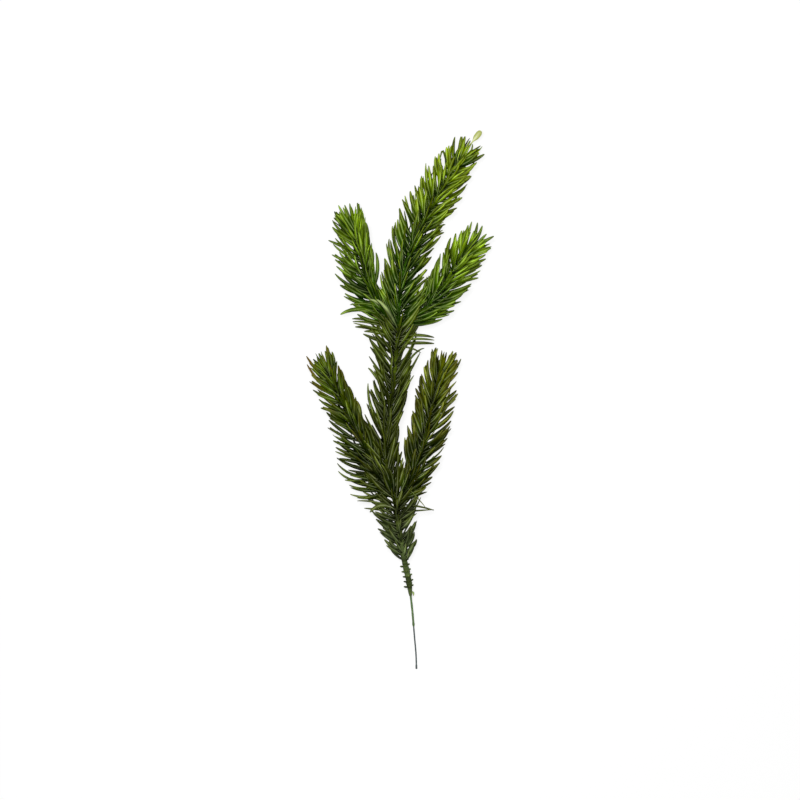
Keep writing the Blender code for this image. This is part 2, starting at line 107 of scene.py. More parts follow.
class Skin:
    """Gathers a piece's rings of points, and what its paint reads, until its mesh is made."""

    # The paint values include the painted light: how brightly lit each needle or twig is painted.
    PAINTS = ("along", "ridge", "tint", "rust", "share", "sun")
    SHARP_EDGE = math.radians(50)
    LOWEST = 0.02

    def __init__(self):
        self.points = []
        self.faces = []
        self.paint = {name: [] for name in self.PAINTS}

    def loft(self, rings, **paint):
        """Joins rings of points into a closed skin with both ends capped."""
        rings = np.asarray(rings)
        count, sides = rings.shape[:2]
        first = len(self.points)
        for i in range(count - 1):
            for j in range(sides):
                k = (j + 1) % sides
                a, b = first + i * sides, first + (i + 1) * sides
                self.faces.append((a + j, a + k, b + k, b + j))
        last = first + (count - 1) * sides
        self.faces.append(tuple(first + j for j in reversed(range(sides))))
        self.faces.append(tuple(last + j for j in range(sides)))
        self.points.extend(rings.reshape(-1, 3))
        for name in self.PAINTS:
            values = np.broadcast_to(paint.get(name, 0.0), (count, sides))
            self.paint[name].extend(values.reshape(-1))

    def tube(self, axis, stations, radii, sides=12, flat=1.0, **paint):
        """A round or flattened tube along an axis."""
        angles = np.linspace(0, 2 * math.pi, sides, endpoint=False)
        rings = []
        for station, radius in zip(stations, radii):
            centre, _, right, up = axis.at(station)
            rings.append(centre + radius * (np.outer(np.cos(angles), right)
                                            + flat * np.outer(np.sin(angles), up)))
        self.loft(rings, **paint)

    def piece(self, name, material):
        """Makes the mesh, in metres, with its paint kept as attributes of its points."""
        mesh = bpy.data.meshes.new(name)
        points = np.array(self.points) + MOVED
        points[:, 2] = np.maximum(points[:, 2], self.LOWEST)
        mesh.from_pydata((points * MM).tolist(), [], self.faces)
        for paint, values in self.paint.items():
            mesh.attributes.new(paint, "FLOAT", "POINT").data.foreach_set("value", values)
        mesh.shade_smooth()
        mesh.set_sharp_from_angle(angle=self.SHARP_EDGE)
        mesh.materials.append(material)
        made = bpy.data.objects.new(name, mesh)
        bpy.context.scene.collection.objects.link(made)
        return made


VALUE = "NodeSocketFloat"
COLOUR = "NodeSocketColor"


def new_group(name, inputs, outputs):
    """A shader node group. The kind of each input and output is given under its name."""
    group = bpy.data.node_groups.new(name, "ShaderNodeTree")
    for label, kind in inputs.items():
        group.interface.new_socket(label, in_out="INPUT", socket_type=kind)
    for label, kind in outputs.items():
        group.interface.new_socket(label, in_out="OUTPUT", socket_type=kind)
    given = group.nodes.new("NodeGroupInput").outputs
    return group, given, group.nodes.new("NodeGroupOutput").inputs


def add_node(tree, kind, inputs=(), **settings):
    """Adds a node, sets it up, and links or sets its inputs."""
    node = tree.nodes.new(kind)
    for key, value in settings.items():
        setattr(node, key, value)
    for key, value in dict(inputs).items():
        if isinstance(value, bpy.types.NodeSocket):
            tree.links.new(value, node.inputs[key])
        else:
            node.inputs[key].default_value = value
    return node


def ramp(tree, value, low, high):
    """0 below low, 1 above high, and smooth between."""
    return add_node(tree, "ShaderNodeMapRange", {"Value": value, "From Min": low, "From Max": high},
                    interpolation_type="SMOOTHSTEP").outputs["Result"]


def maths(tree, operation, a, b):
    return add_node(tree, "ShaderNodeMath", {0: a, 1: b}, operation=operation).outputs[0]


def plus(tree, a, b):
    return maths(tree, "ADD", a, b)


def times(tree, a, b):
    return maths(tree, "MULTIPLY", a, b)


def noise(tree, place, scale, detail):
    return add_node(tree, "ShaderNodeTexNoise",
                    {"Vector": place, "Scale": scale, "Detail": detail}).outputs["Fac"]


def blend(tree, share, a, b, kind="MIX"):
    return add_node(tree, "ShaderNodeMix", {0: share, 6: a, 7: b},
                    data_type="RGBA", blend_type=kind).outputs[2]


def colour(rgb):
    return (*rgb, 1.0)


def object_place(tree):
    return add_node(tree, "ShaderNodeTexCoord").outputs["Object"]


def paint_values(tree, name):
    return add_node(tree, "ShaderNodeAttribute", attribute_name=name).outputs["Fac"]


# Mottle is the fine unevenness that every drawn or moulded surface here has. Its mask marks
# patches five times as broad.
mottle, given, result = new_group("mottle", dict.fromkeys(("Scale", "Rough", "Spread"), VALUE),
                                  dict.fromkeys(("Height", "Roughness", "Mask"), VALUE))
place = object_place(mottle)
broad = noise(mottle, place, times(mottle, given["Scale"], 0.2), 2.0)
uneven = times(mottle, maths(mottle, "SUBTRACT", broad, 0.5), given["Spread"])
mottle.links.new(noise(mottle, place, given["Scale"], 3.0), result["Height"])
mottle.links.new(plus(mottle, given["Rough"], uneven), result["Roughness"])
mottle.links.new(ramp(mottle, broad, 0.42, 0.62), result["Mask"])


def mottled_finish(name, scale, rough, spread, strength, depth):
    """A finish with a mottled roughness and bump. Returns it, its tree, its shader and the mask."""
    material = bpy.data.materials.new(name)
    material.use_nodes = True
    tree = material.node_tree
    shader = tree.nodes["Principled BSDF"]
    uneven = add_node(tree, "ShaderNodeGroup", {"Scale": scale, "Rough": rough, "Spread": spread},
                      node_tree=mottle)
    bump = add_node(tree, "ShaderNodeBump", {"Height": uneven.outputs["Height"],
                                             "Strength": strength, "Distance": depth * MM})
    tree.links.new(uneven.outputs["Roughness"], shader.inputs["Roughness"])
    tree.links.new(bump.outputs["Normal"], shader.inputs["Normal"])
    return material, tree, shader, uneven.outputs["Mask"]


def plain_finish(name, main, other, rough, metal, depth):
    """A wire, coating or tag finish: the other tone shows in patches and where along is 1."""
    material, tree, shader, mask = mottled_finish(name, scale=900.0, rough=rough, spread=0.25,
                                                  strength=0.4, depth=depth)
    tone = blend(tree, times(tree, mask, 0.6), colour(main), colour(other))
    tone = blend(tree, paint_values(tree, "along"), tone, colour(other))
    tree.links.new(tone, shader.inputs["Base Color"])
    shader.inputs["Metallic"].default_value = metal
    return material


wire_axis = Axis(WIRE_KNOTS)
wire_stations = np.r_[BURR_OUTLINE[:, 0], BURR_LENGTH + 0.6,
                      np.arange(4, wire_axis.length + WIRE_PITCH, WIRE_PITCH)]
burr_rings = len(BURR_OUTLINE)
wire_radii = np.full(len(wire_stations), WIRE_RADIUS)
wire_radii[:burr_rings] = BURR_RADIUS * BURR_OUTLINE[:, 1]
wire_radii[burr_rings + 1:] += WIRE_WAVER * np.sin(wire_stations[burr_rings + 1:] * 1.7)
skin = Skin()
skin.tube(wire_axis, wire_stations, wire_radii, flat=WIRE_FLATNESS,
          along=(wire_stations < BURR_LENGTH)[:, None])
wire_finish = plain_finish("wire_steel", WIRE_GREY, BURR_GREY, rough=0.48, metal=0.35, depth=0.05)
wire = skin.piece("bare_wire", wire_finish)
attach(wire, "root")
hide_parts("wire_stem")


# The wire's green coating: a thin dipped skin of soft plastic between the bare wire and the
# moulding. It ends in a bead where it was stripped back.

COATING_KNOTS = [(8.2, -135.6, 2.9), (7.4, -126, 4.0), (6.4, -117, 5.2)]
COATING_RADIUS = 0.64
COATING_WAVER = 0.03
COATING_PITCH = 1.2
BEAD_RADIUS = 0.78
# The stripped end's outline: how far along the coating, and the radius there.
BEAD_OUTLINE = np.array([(0.1, WIRE_RADIUS + 0.08), (0.5, 0.6), (1.0, BEAD_RADIUS),
                         (1.7, BEAD_RADIUS * 0.97), (2.4, 0.7), (3.0, 0.65)])
COATING_GREEN = (0.072, 0.140, 0.036)
COATING_PALE = (0.115, 0.200, 0.065)

coating_axis = Axis(COATING_KNOTS)
coating_stations = np.r_[BEAD_OUTLINE[:, 0], 3.6,
                         np.arange(5, coating_axis.length + COATING_PITCH, COATING_PITCH)]
coating_radii = COATING_RADIUS + COATING_WAVER * np.sin(coating_stations * 1.1)
coating_radii[:len(BEAD_OUTLINE)] = BEAD_OUTLINE[:, 1]
skin = Skin()
skin.tube(coating_axis, coating_stations, coating_radii)
coating_finish = plain_finish("dipped_green", COATING_GREEN, COATING_PALE,
                              rough=0.42, metal=0.0, depth=0.08)
coating = skin.piece("wire_coating_skin", coating_finish)
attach(coating, "root")
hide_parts("wire_coating")


# The lower stem: soft green polyethylene moulded with its needles in one shot. Its bottom is a
# sleeve pushed over the wire, whose needles were cut off to short stubs.

SLEEVE_RADIUS = 1.75
SLEEVE_END_RADIUS = 0.85
SLEEVE_TAPER = 0.12
SLEEVE_SHARE = 0.36
TWIG_RADIUS = 1.45
TWIG_END_RADIUS = 0.8
TWIG_PITCH = 0.9
KNOB_SPREAD = (-0.07, 0.12)
NEEDLE_SPACING = 0.39
GOLDEN_TURN = math.radians(137.5)
NEEDLE_WIDTH = 2.25
NEEDLE_CURL = math.radians(14)
ROOT_DEPTH = 0.8
LEAN_LIMITS = (0.1, 0.96)
TABLE_LIFT = 0.45
SETTLE_SOFTNESS = 0.8
TIP_BARE = 12.5
TUFT_LENGTH = 6.0
CLUMP_PITCH = 4.9
CLUMP_AMOUNT = 0.04

# Needles that point up or down reach less far, and those on top are shorter and narrower. Past
# this uprightness, this share of them is left out, so that the twig shows.
TOP_REACH = 0.8
UNDER_REACH = 0.85
TOP_SHORTENING = 0.14
TOP_NARROWING = 0.2
UPRIGHT = 0.75
PARTED = 0.2

# How far each needle strays from the rule: a spread has its two ends, or its usual size.
STATION_SPREAD = (-0.7, 0.7)
TURN_SPREAD = (-0.25, 0.25)
LENGTH_SPREAD = (0.8, 1.04)
REACH_SPREAD = (0.9, 1.05)
CURL_SPREAD = (-0.4, 2.0)
WIDTH_SPREAD = (0.75, 1.3)
SWAY_SPREAD = 0.12
ROLL_SPREAD = 0.35
TWIST_SPREAD = 0.5
STRAY_ROLL_SPREAD = 0.2

# A needle's middle line has this many steps. Its rings: how far along each is, and how wide.
LINE_STEPS = 14
NEEDLE_RINGS = np.array([0, 0.07, 0.2, 0.36, 0.54, 0.7, 0.83, 0.92, 0.975, 1.0])
NEEDLE_WIDTHS = np.array([0.8, 0.7, 0.86, 1.0, 1.0, 0.9, 0.72, 0.52, 0.34, 0.14])
# Its keeled section, as shares of half its width across and outward, and its ridge mask.
SECTION_ACROSS = np.array([-1, -0.5, 0, 0.5, 1, 0])
SECTION_OUT = np.array([0, 0.42, 0.66, 0.42, 0, -0.5])
SECTION_RIDGE = np.array([0.0, 0.5, 1.0, 0.5, 0.0, 0.35])

LOWER_FORK = (-2.4, -60, 11.3)
UPPER_FORK = (-1.2, 45, 12.6)
SPINE_KNOTS = [
    (6.4, -117, 5.2), (5.1, -107, 6.4), (2.7, -96, 7.7), (-0.3, -78, 9.8), (-1.5, -69, 10.7),
    LOWER_FORK, (-5.4, -51, 11.7), (-7.8, -40.8, 12.0), (-9, -30, 12.1), (-7.8, -18, 12.2),
    (-4.5, 6, 12.3), (-2.1, 30, 12.5), UPPER_FORK, (-0.6, 58, 13.0), (2.4, 78, 13.2),
    (10.8, 101.4, 13.0), (21.6, 121.2, 12.4), (31.8, 138.6, 11.4), (40.8, 151.8, 10.5),
    (48.6, 162, 9.8),
]
spine = Axis(SPINE_KNOTS)
lower_fork = spine.knot_station(SPINE_KNOTS.index(LOWER_FORK))
upper_fork = spine.knot_station(SPINE_KNOTS.index(UPPER_FORK))

# Reach steps: share of the twig, how far its needles reach to the left and to the right, and how
# long they are on the left and on the right.
LOWER_REACH = [(0.3, 8, 7.5, 11, 11), (0.5, 11.5, 11, 15, 15), (0.8, 16.5, 14, 20, 18),
               (1.0, 19.5, 17.5, 23, 21)]
# Strays stand out singly in the photo: root, bend, tip and width of each.
LOWER_STRAYS = [
    ((-2.4, -64, 12), (-15.0, -60.6, 13), (-25.8, -60.0, 10), 1.5),
    ((-2.0, -66, 9), (-12.0, -65.2, 10), (-21.6, -64.4, 8), 1.5),
    ((-2.4, -65.5, 13), (-11.0, -62.5, 15), (-18.0, -66.8, 13), 2.7),
    ((-7.0, -53, 12), (-18.0, -57.5, 11), (-30.0, -56.0, 8), 1.7),
    ((-0.6, -62, 12), (10.8, -63.2, 13), (20.4, -65.7, 10), 1.2),
    ((-1.0, -67.5, 13), (8.0, -66.0, 14), (20.4, -65.2, 12), 1.1),
    ((0.6, -74, 10), (6.5, -68.5, 12), (12.6, -57.6, 11), 1.2),
    ((0.5, -73.5, 11), (5.0, -71.0, 13), (10.2, -67.3, 12), 1.5),
]
STRAY_FACE = (0.15, 0.1, 1.0)
# The sleeve's thorns stand in rows: turn round it, first station, how many, and how far out.
THORN_ROWS = [(180, 5.3, 5, 1.8), (0, 5.9, 6, 1.1), (90, 5.4, 5, 0.9), (-90, 7.0, 5, 1.2)]
THORN_PITCH = 3.2
THORN_WIDTH = 2.2
THORN_SPREAD = (0.85, 1.1)
THORN_TURN_SPREAD = (-0.2, 0.2)
THORN_LEAN = 1.3
THORN_CURL = 0.25
THORN_SUNK = 0.7
# A bright hook of spare plastic curls off the sleeve's lower end.
HOOK = ((6.0, -115.1, 5.4), (7.9, -115.1, 5.7), (7.9, -117.2, 5.4), 1.2)


def settle(points):
    """Bends whatever would be under the table up onto it."""
    over = np.clip((points[:, 2] - TABLE_LIFT) / SETTLE_SOFTNESS, -30, 30)
    bent = TABLE_LIFT + SETTLE_SOFTNESS * np.log1p(np.exp(over))
    points[:, 2] = np.where(over < 20, bent, points[:, 2])
    return points


def needle_line(root, ahead, outward, length, lean, curl, sway):
    """A needle's middle line: it leaves the twig steeply, turns along it, and sways a little."""
    side = np.cross(ahead, outward)
    share = (np.arange(LINE_STEPS) + 0.5) / LINE_STEPS
    lean_there = lean + curl * (1 - 2 * share)
    sway_there = sway * (2 * share - 0.4)
    heading = (np.outer(np.cos(lean_there) * np.cos(sway_there), ahead)
               + np.outer(np.sin(lean_there) * np.cos(sway_there), outward)
               + np.outer(np.sin(sway_there), side))
    steps = np.cumsum(heading, axis=0) * length / LINE_STEPS
    return settle(root + np.vstack([np.zeros(3), steps]))


def bent_line(root, bend, tip):
    """A stray needle's middle line, from its root through its bend to its tip."""
    root, bend, tip = (np.array(corner, float) for corner in (root, bend, tip))
    t = np.linspace(0, 1, LINE_STEPS + 1)[:, None]
    return root * (1 - t) ** 2 + (4 * bend - root - tip) * t * (1 - t) + tip * t ** 2


def add_needle(skin, line, width, face, roll, twist=0.0, **paint):
    """One needle along its middle line. Its keel faces outward, rolled, and twists to its tip."""
    line_shares = np.linspace(0, 1, len(line))
    centres = np.stack([np.interp(NEEDLE_RINGS, line_shares, line[:, i]) for i in range(3)], axis=1)
    along = unit(np.gradient(centres, axis=0))
    out = unit(face - along * (along @ face)[:, None])
    across = np.cross(along, out)
    turned = (roll + twist * NEEDLE_RINGS)[:, None]
    out, across = (out * np.cos(turned) + across * np.sin(turned),
                   across * np.cos(turned) - out * np.sin(turned))
    half = (NEEDLE_WIDTHS * width / 2)[:, None, None]
    rings = (centres[:, None] + half * (SECTION_ACROSS[None, :, None] * across[:, None]
                                        + SECTION_OUT[None, :, None] * out[:, None]))
    skin.loft(rings, along=NEEDLE_RINGS[:, None], ridge=SECTION_RIDGE[None, :], **paint)


def reach_at(steps, share):
    """Reach to the left and right, and length on the left and right, at a share of the twig."""
    return [np.interp(share, [step[0] for step in steps], [step[i] for step in steps])
            for i in (1, 2, 3, 4)]


def grow_needles(skin, axis, first, last, steps, draw, root_radius, rust=0.0, parted=PARTED):
    """Winds needles round a twig from one station to another, each at its own lean and length."""
    count = round((last - first) / NEEDLE_SPACING)
    for index in range(count):
        share = (index + 0.5) / count
        station = first + share * (last - first) + draw.uniform(*STATION_SPREAD)
        left, right, left_length, right_length = reach_at(steps, share)
        phase = index * GOLDEN_TURN + draw.uniform(*TURN_SPREAD)
        wide, high = math.cos(phase), math.sin(phase)
        if abs(high) > UPRIGHT and draw.random() < parted:
            continue
        on_top = max(0.0, high)
        reach = (right if wide > 0 else left) * wide ** 2
        reach += (TOP_REACH if high > 0 else UNDER_REACH) * 0.5 * (left + right) * high ** 2
        clump = math.sin(2 * math.pi * station / CLUMP_PITCH + 2 * wide)
        length = (left_length + right_length + (right_length - left_length) * wide) / 2
        length *= draw.uniform(*LENGTH_SPREAD) + CLUMP_AMOUNT * clump - TOP_SHORTENING * on_top
        centre, ahead, right_way, up = axis.at(station)
        outward = right_way * wide + up * high
        radius = root_radius(share)
        slope = (reach * draw.uniform(*REACH_SPREAD) - radius) / length
        lean = math.asin(min(LEAN_LIMITS[1], max(LEAN_LIMITS[0], slope)))
        curl = NEEDLE_CURL * draw.uniform(*CURL_SPREAD)
        line = needle_line(centre + outward * radius * ROOT_DEPTH, ahead, outward, length, lean,
                           curl, draw.gauss(0, SWAY_SPREAD))
        face = np.cross(outward, ahead) * (1 if wide > 0 else -1)
        width = NEEDLE_WIDTH * draw.uniform(*WIDTH_SPREAD) * (1 - TOP_NARROWING * on_top)
        # Needles higher on the twig get more painted light, as if lit from above; those underneath
        # get painted shade.
        add_needle(skin, line, width, face, draw.gauss(0, ROLL_SPREAD), draw.gauss(0, TWIST_SPREAD),
                   tint=draw.random(), rust=rust * share * draw.random() ** 3, share=share,
                   sun=0.5 + 0.5 * high)


def add_strays(skin, strays, draw, share, rust=0.0, sun=0.75):
    for root, bend, tip, width in strays:
        add_needle(skin, bent_line(root, bend, tip), width, np.array(STRAY_FACE),
                   draw.gauss(0, STRAY_ROLL_SPREAD), tint=draw.random(), rust=rust, share=share,
                   sun=sun)


def add_twig(skin, axis, first, last, radius_at, draw, sun=0.9):
    """The twig itself, knobbly where its needles spring from it."""
    count = round((last - first) / TWIG_PITCH)
    stations = np.linspace(first, last, count + 1)
    shares = [i / count for i in range(count + 1)]
    knobs = np.array([draw.uniform(*KNOB_SPREAD) for _ in stations])
    tints = np.array([draw.random() for _ in stations])
    radii = np.array([radius_at(share) for share in shares]) * (1 + knobs)
    skin.tube(axis, stations, radii, sides=10, tint=tints[:, None],
              share=np.array(shares)[:, None], along=0.4, ridge=0.4, sun=sun)


def stem_radius(share):
    """The sleeve swells from its narrow end on the wire to a full twig."""
    swell = min(1.0, share / SLEEVE_TAPER)
    return SLEEVE_END_RADIUS + (SLEEVE_RADIUS - SLEEVE_END_RADIUS) * swell


def add_thorns(skin, axis, draw):
    """Cut-off needles: short pointed stumps in rows along the sleeve."""
    for turn, first, count, out in THORN_ROWS:
        for index in range(count):
            centre, ahead, right, up = axis.at(first + index * THORN_PITCH)
            turned = math.radians(turn) + draw.uniform(*THORN_TURN_SPREAD)
            outward = right * math.cos(turned) + up * math.sin(turned)
            length = THORN_SUNK + out * draw.uniform(*THORN_SPREAD)
            line = needle_line(centre + outward * (SLEEVE_RADIUS - THORN_SUNK), ahead, outward,
                               length, THORN_LEAN, THORN_CURL, 0.0)
            add_needle(skin, line, THORN_WIDTH * draw.uniform(*THORN_SPREAD), ahead, 0.0,
                       tint=draw.random(), share=0.2, sun=0.7)


# Needle paint is the moulded plastic's colour with painted light and shade in it: darker and duller
# at the root, partly the plastic's own colour and partly painted shade where the needles crowd the
# twig; a painted highlight along the keel; lighter at the tip, streaked lengthwise by the flow of
# the melt, with some tips browned.
BROWNED = (0.130, 0.088, 0.008)
tree, given, result = new_group(
    "needle_paint",
    {**dict.fromkeys(("Root", "Body", "Tip", "Sheen"), COLOUR),
     **dict.fromkeys(("Along", "Ridge", "Tint", "Rust", "Sun", "Keel"), VALUE)},
    {"Colour": COLOUR})
needle_paint = tree
flow = add_node(tree, "ShaderNodeCombineXYZ",
                {"X": times(tree, given["Along"], 3.0), "Y": times(tree, given["Ridge"], 4.0),
                 "Z": times(tree, given["Tint"], 97.0)}).outputs["Vector"]
streak = noise(tree, flow, 1.6, 2.0)
# Painted shade at the needle's root, where the needles crowd the twig, over the plastic's own
# darker root.
shade = blend(tree, ramp(tree, given["Along"], 0.0, 0.6), given["Root"], given["Body"])
tipped = times(tree, ramp(tree, given["Along"], 0.45, 1.0), 0.6)
shade = blend(tree, tipped, shade, given["Tip"])
# A painted highlight runs along each needle's keel, broken up by the streaks.
keel = times(tree, ramp(tree, given["Ridge"], 0.55, 1.0), given["Keel"])
shade = blend(tree, times(tree, keel, streak), shade, given["Sheen"])

# Brightness: each needle's own tint, painted light that is brighter the higher the needle sits on
# the twig as if lit from above, its streaks, painted shade along its edges, and clouds that make
# the spray uneven from one patch to the next.
bright = plus(tree, 0.1, maths(tree, "POWER", given["Tint"], 2.5))
bright = plus(tree, bright, times(tree, given["Sun"], 0.75))
bright = plus(tree, bright, times(tree, streak, 0.3))
# Painted shade darkens each needle towards its two edges.
edge = plus(tree, 0.55, times(tree, ramp(tree, given["Ridge"], 0.0, 0.8), 0.6))
bright = times(tree, bright, edge)
cloud = ramp(tree, noise(tree, object_place(tree), 130.0, 1.0), 0.36, 0.64)
bright = times(tree, bright, plus(tree, times(tree, cloud, 0.6), 0.66))
grey = add_node(tree, "ShaderNodeCombineXYZ", {"X": bright, "Y": bright, "Z": bright})
shade = blend(tree, 1.0, shade, grey.outputs["Vector"], "MULTIPLY")
browned = times(tree, ramp(tree, given["Along"], 0.3, 0.8), given["Rust"])
tree.links.new(blend(tree, browned, shade, colour(BROWNED)), result["Colour"])


def needle_finish(name, root, sheen, young, old, tip, rough=0.42, keel=0.6):
    """The moulded plastic of one sprig, with painted shade at its needle roots and a painted
    highlight along their keels: young is its colour at the far end, old at the near end.
    """
    material, tree, shader, _ = mottled_finish(name, scale=1400.0, rough=rough, spread=0.35,
                                               strength=0.3, depth=0.06)
    share = ramp(tree, paint_values(tree, "share"), 0.3, 1.05)
    inputs = {"Root": colour(root), "Sheen": colour(sheen), "Tip": colour(tip), "Keel": keel,
              "Body": blend(tree, share, colour(old), colour(young))}
    for label in ("Along", "Ridge", "Tint", "Rust", "Sun"):
        inputs[label] = paint_values(tree, label.lower())
    paint = add_node(tree, "ShaderNodeGroup", inputs, node_tree=needle_paint)
    tree.links.new(paint.outputs["Colour"], shader.inputs["Base Color"])
    # Real reflection is kept almost nil; the highlight on the keels is painted instead.
    shader.inputs["Specular IOR Level"].default_value = 0.01
    return material


def dress(skin, name, material, node):
    """Makes the piece and puts it in the place of its plain solid."""
    made = skin.piece(name, material)
    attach(made, "root")
    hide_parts(node)


# The root colour is partly the plastic's own darker root and partly painted shade.
DARK_ROOT = (0.007, 0.011, 0.001)
# This pale colour is a painted highlight along the keels.
GREY_SHEEN = (0.300, 0.330, 0.180)

draw = random.Random(11)
skin = Skin()
needled_reach = [(max(0.0, (step[0] - SLEEVE_SHARE) / (1 - SLEEVE_SHARE)), *step[1:])
                 for step in LOWER_REACH]
add_twig(skin, spine, 0.0, lower_fork + 0.5, stem_radius, draw, sun=1.0)
add_thorns(skin, spine, draw)
# The hook is painted with the most light of all, which makes it bright.
add_strays(skin, [HOOK], draw, share=0.0, sun=2.2)
grow_needles(skin, spine, SLEEVE_SHARE * lower_fork, lower_fork, needled_reach, draw,
             lambda share: TWIG_RADIUS, parted=0.3)
add_strays(skin, LOWER_STRAYS, draw, share=0.8)
lower_finish = needle_finish("old_green_stem", DARK_ROOT, GREY_SHEEN, young=(0.042, 0.055, 0.003),
                             old=(0.083, 0.118, 0.037), tip=(0.080, 0.098, 0.007), rough=0.44)
dress(skin, "lower_stem_moulding", lower_finish, "lower_stem")


# The lower side sprigs: the oldest and darkest plastic of the spray, moulded on the stem at the
# lower fork. Their far needles are golden-olive, and a few on the left are browned.

LOWER_LEFT_KNOTS = [(-2.4, -60, 11.3), (-10.5, -47.5, 11.5), (-21, -28, 11.6), (-29.5, -10, 11.0),
                    (-36.5, 3.5, 10.2), (-41, 13, 9.3), (-45, 21.5, 8.4), (-49, 29, 7.5)]
LOWER_RIGHT_KNOTS = [(-2.4, -61, 11.2), (4.8, -51.6, 11.6), (11.4, -33, 11.8), (16.8, -13.8, 11.3),
                     (22.8, 12.6, 9.6), (26.4, 29, 8)]
LOWER_LEFT_REACH = [(0.0, 20, 8, 24, 20), (0.25, 19, 7.5, 24, 20), (0.5, 15, 7.5, 22, 20),
                    (0.8, 12, 8, 20, 18), (0.93, 10, 7, 17, 16), (1.0, 7, 6, 15, 15)]
LOWER_RIGHT_REACH = [(0.0, 10.5, 9.5, 21, 20), (0.15, 11.5, 12, 21, 21),
                     (0.35, 12.5, 14.5, 22, 22), (0.7, 12.5, 13.5, 21, 21),
                     (0.92, 9, 11.5, 19, 19), (1.0, 5.5, 7, 17, 17)]
LOWER_LEFT_STRAYS = [
    ((-28.5, -22, 11), (-35.5, -17.5, 12), (-42.8, -11.5, 10), 2.2),
    ((-14.0, -42, 10), (-27.0, -44.5, 10), (-37.8, -37.4, 8), 1.7),
    ((-12.0, -45, 10), (-26.0, -48.0, 9), (-37.2, -42.2, 6), 1.7),
    ((-9.0, -50, 10), (-20.0, -52.8, 10), (-30.6, -50.5, 7), 1.7),
    ((-43.0, 14, 10), (-47.5, 22.5, 10), (-50.7, 28.6, 9), 0.8),
    ((-42.0, 15, 11), (-45.5, 24.0, 11), (-47.4, 29.8, 10), 0.8),
]
# Needles at the left sprig's tip that the mould's heat browned.
BROWNED_STRAYS = [
    ((-40.5, 7, 10), (-50.5, 19.0, 11), (-56.2, 26.9, 9), 1.8),
    ((-38.5, 2, 10), (-49.5, 13.0, 11), (-55.8, 22.0, 9), 1.8),
]
LOWER_RIGHT_STRAYS = [
    ((3.0, -51, 15), (8.4, -55.8, 18), (15.6, -64.2, 15), 0.9),
    ((4.5, -52.5, 13), (10.5, -53.6, 15), (14.4, -52.2, 14), 1.4),
    ((18.5, -3, 11), (26.0, 16.0, 12), (33.9, 27.0, 9), 1.6),
]


def add_tuft(skin, axis, twig_end, steps, draw, rust):
    """More needles crowd round the end of a twig."""
    ends = [(share, *reach_at(steps, 0.9 + 0.1 * share)) for share in (0, 1)]
    grow_needles(skin, axis, twig_end - TUFT_LENGTH, twig_end, ends, draw,
                 lambda share: TWIG_END_RADIUS, rust)


def sprig_radius(share):
    return TWIG_RADIUS + (TWIG_END_RADIUS - TWIG_RADIUS) * share ** 2


def make_sprig(name, knots, steps, strays, finish, node, seed, rust=0.0, browned=()):
    """A side sprig: its tapering twig, the needles wound round it, and its last straight needle."""
    draw = random.Random(seed)
    axis = Axis(knots)
    twig_end = axis.length - TIP_BARE
    skin = Skin()
    add_twig(skin, axis, 0.6, twig_end, sprig_radius, draw)
    grow_needles(skin, axis, 2.0, twig_end, steps, draw, sprig_radius, rust)
    add_tuft(skin, axis, twig_end, steps, draw, rust)
    add_strays(skin, strays, draw, share=0.5)
    add_strays(skin, browned, draw, share=0.8, rust=1.0)
    last_needle = np.array([axis.point(twig_end - 1 + share * (TIP_BARE + 0.6))
                            for share in np.linspace(0, 1, LINE_STEPS + 1)])
    add_needle(skin, last_needle, NEEDLE_WIDTH, np.array((0.0, 0.0, 1.0)), 0.0,
               tint=0.7, share=1.0, sun=0.8)
    dress(skin, name, finish, node)


lower_left_finish = needle_finish("old_green_left", DARK_ROOT, GREY_SHEEN,
                                  young=(0.082, 0.137, 0.001), old=(0.009, 0.019, 0.001),
                                  tip=(0.088, 0.121, 0.002), keel=0.45)
make_sprig("lower_left_moulding", LOWER_LEFT_KNOTS, LOWER_LEFT_REACH, LOWER_LEFT_STRAYS,
           lower_left_finish, "lower_left_sprig", seed=21, rust=0.7,
           browned=BROWNED_STRAYS)
lower_right_finish = needle_finish("old_green_right", DARK_ROOT, GREY_SHEEN,
                                   young=(0.100, 0.132, 0.001), old=(0.023, 0.042, 0.001),
                                   tip=(0.128, 0.136, 0.004))
make_sprig("lower_right_moulding", LOWER_RIGHT_KNOTS, LOWER_RIGHT_REACH, LOWER_RIGHT_STRAYS,
           lower_right_finish, "lower_right_sprig", seed=22, rust=0.4)


# The middle stem: the same moulding between the two forks. Its needles are thinner on the right,
# and under the upper fork they stand out sideways, where the side sprigs push them apart.

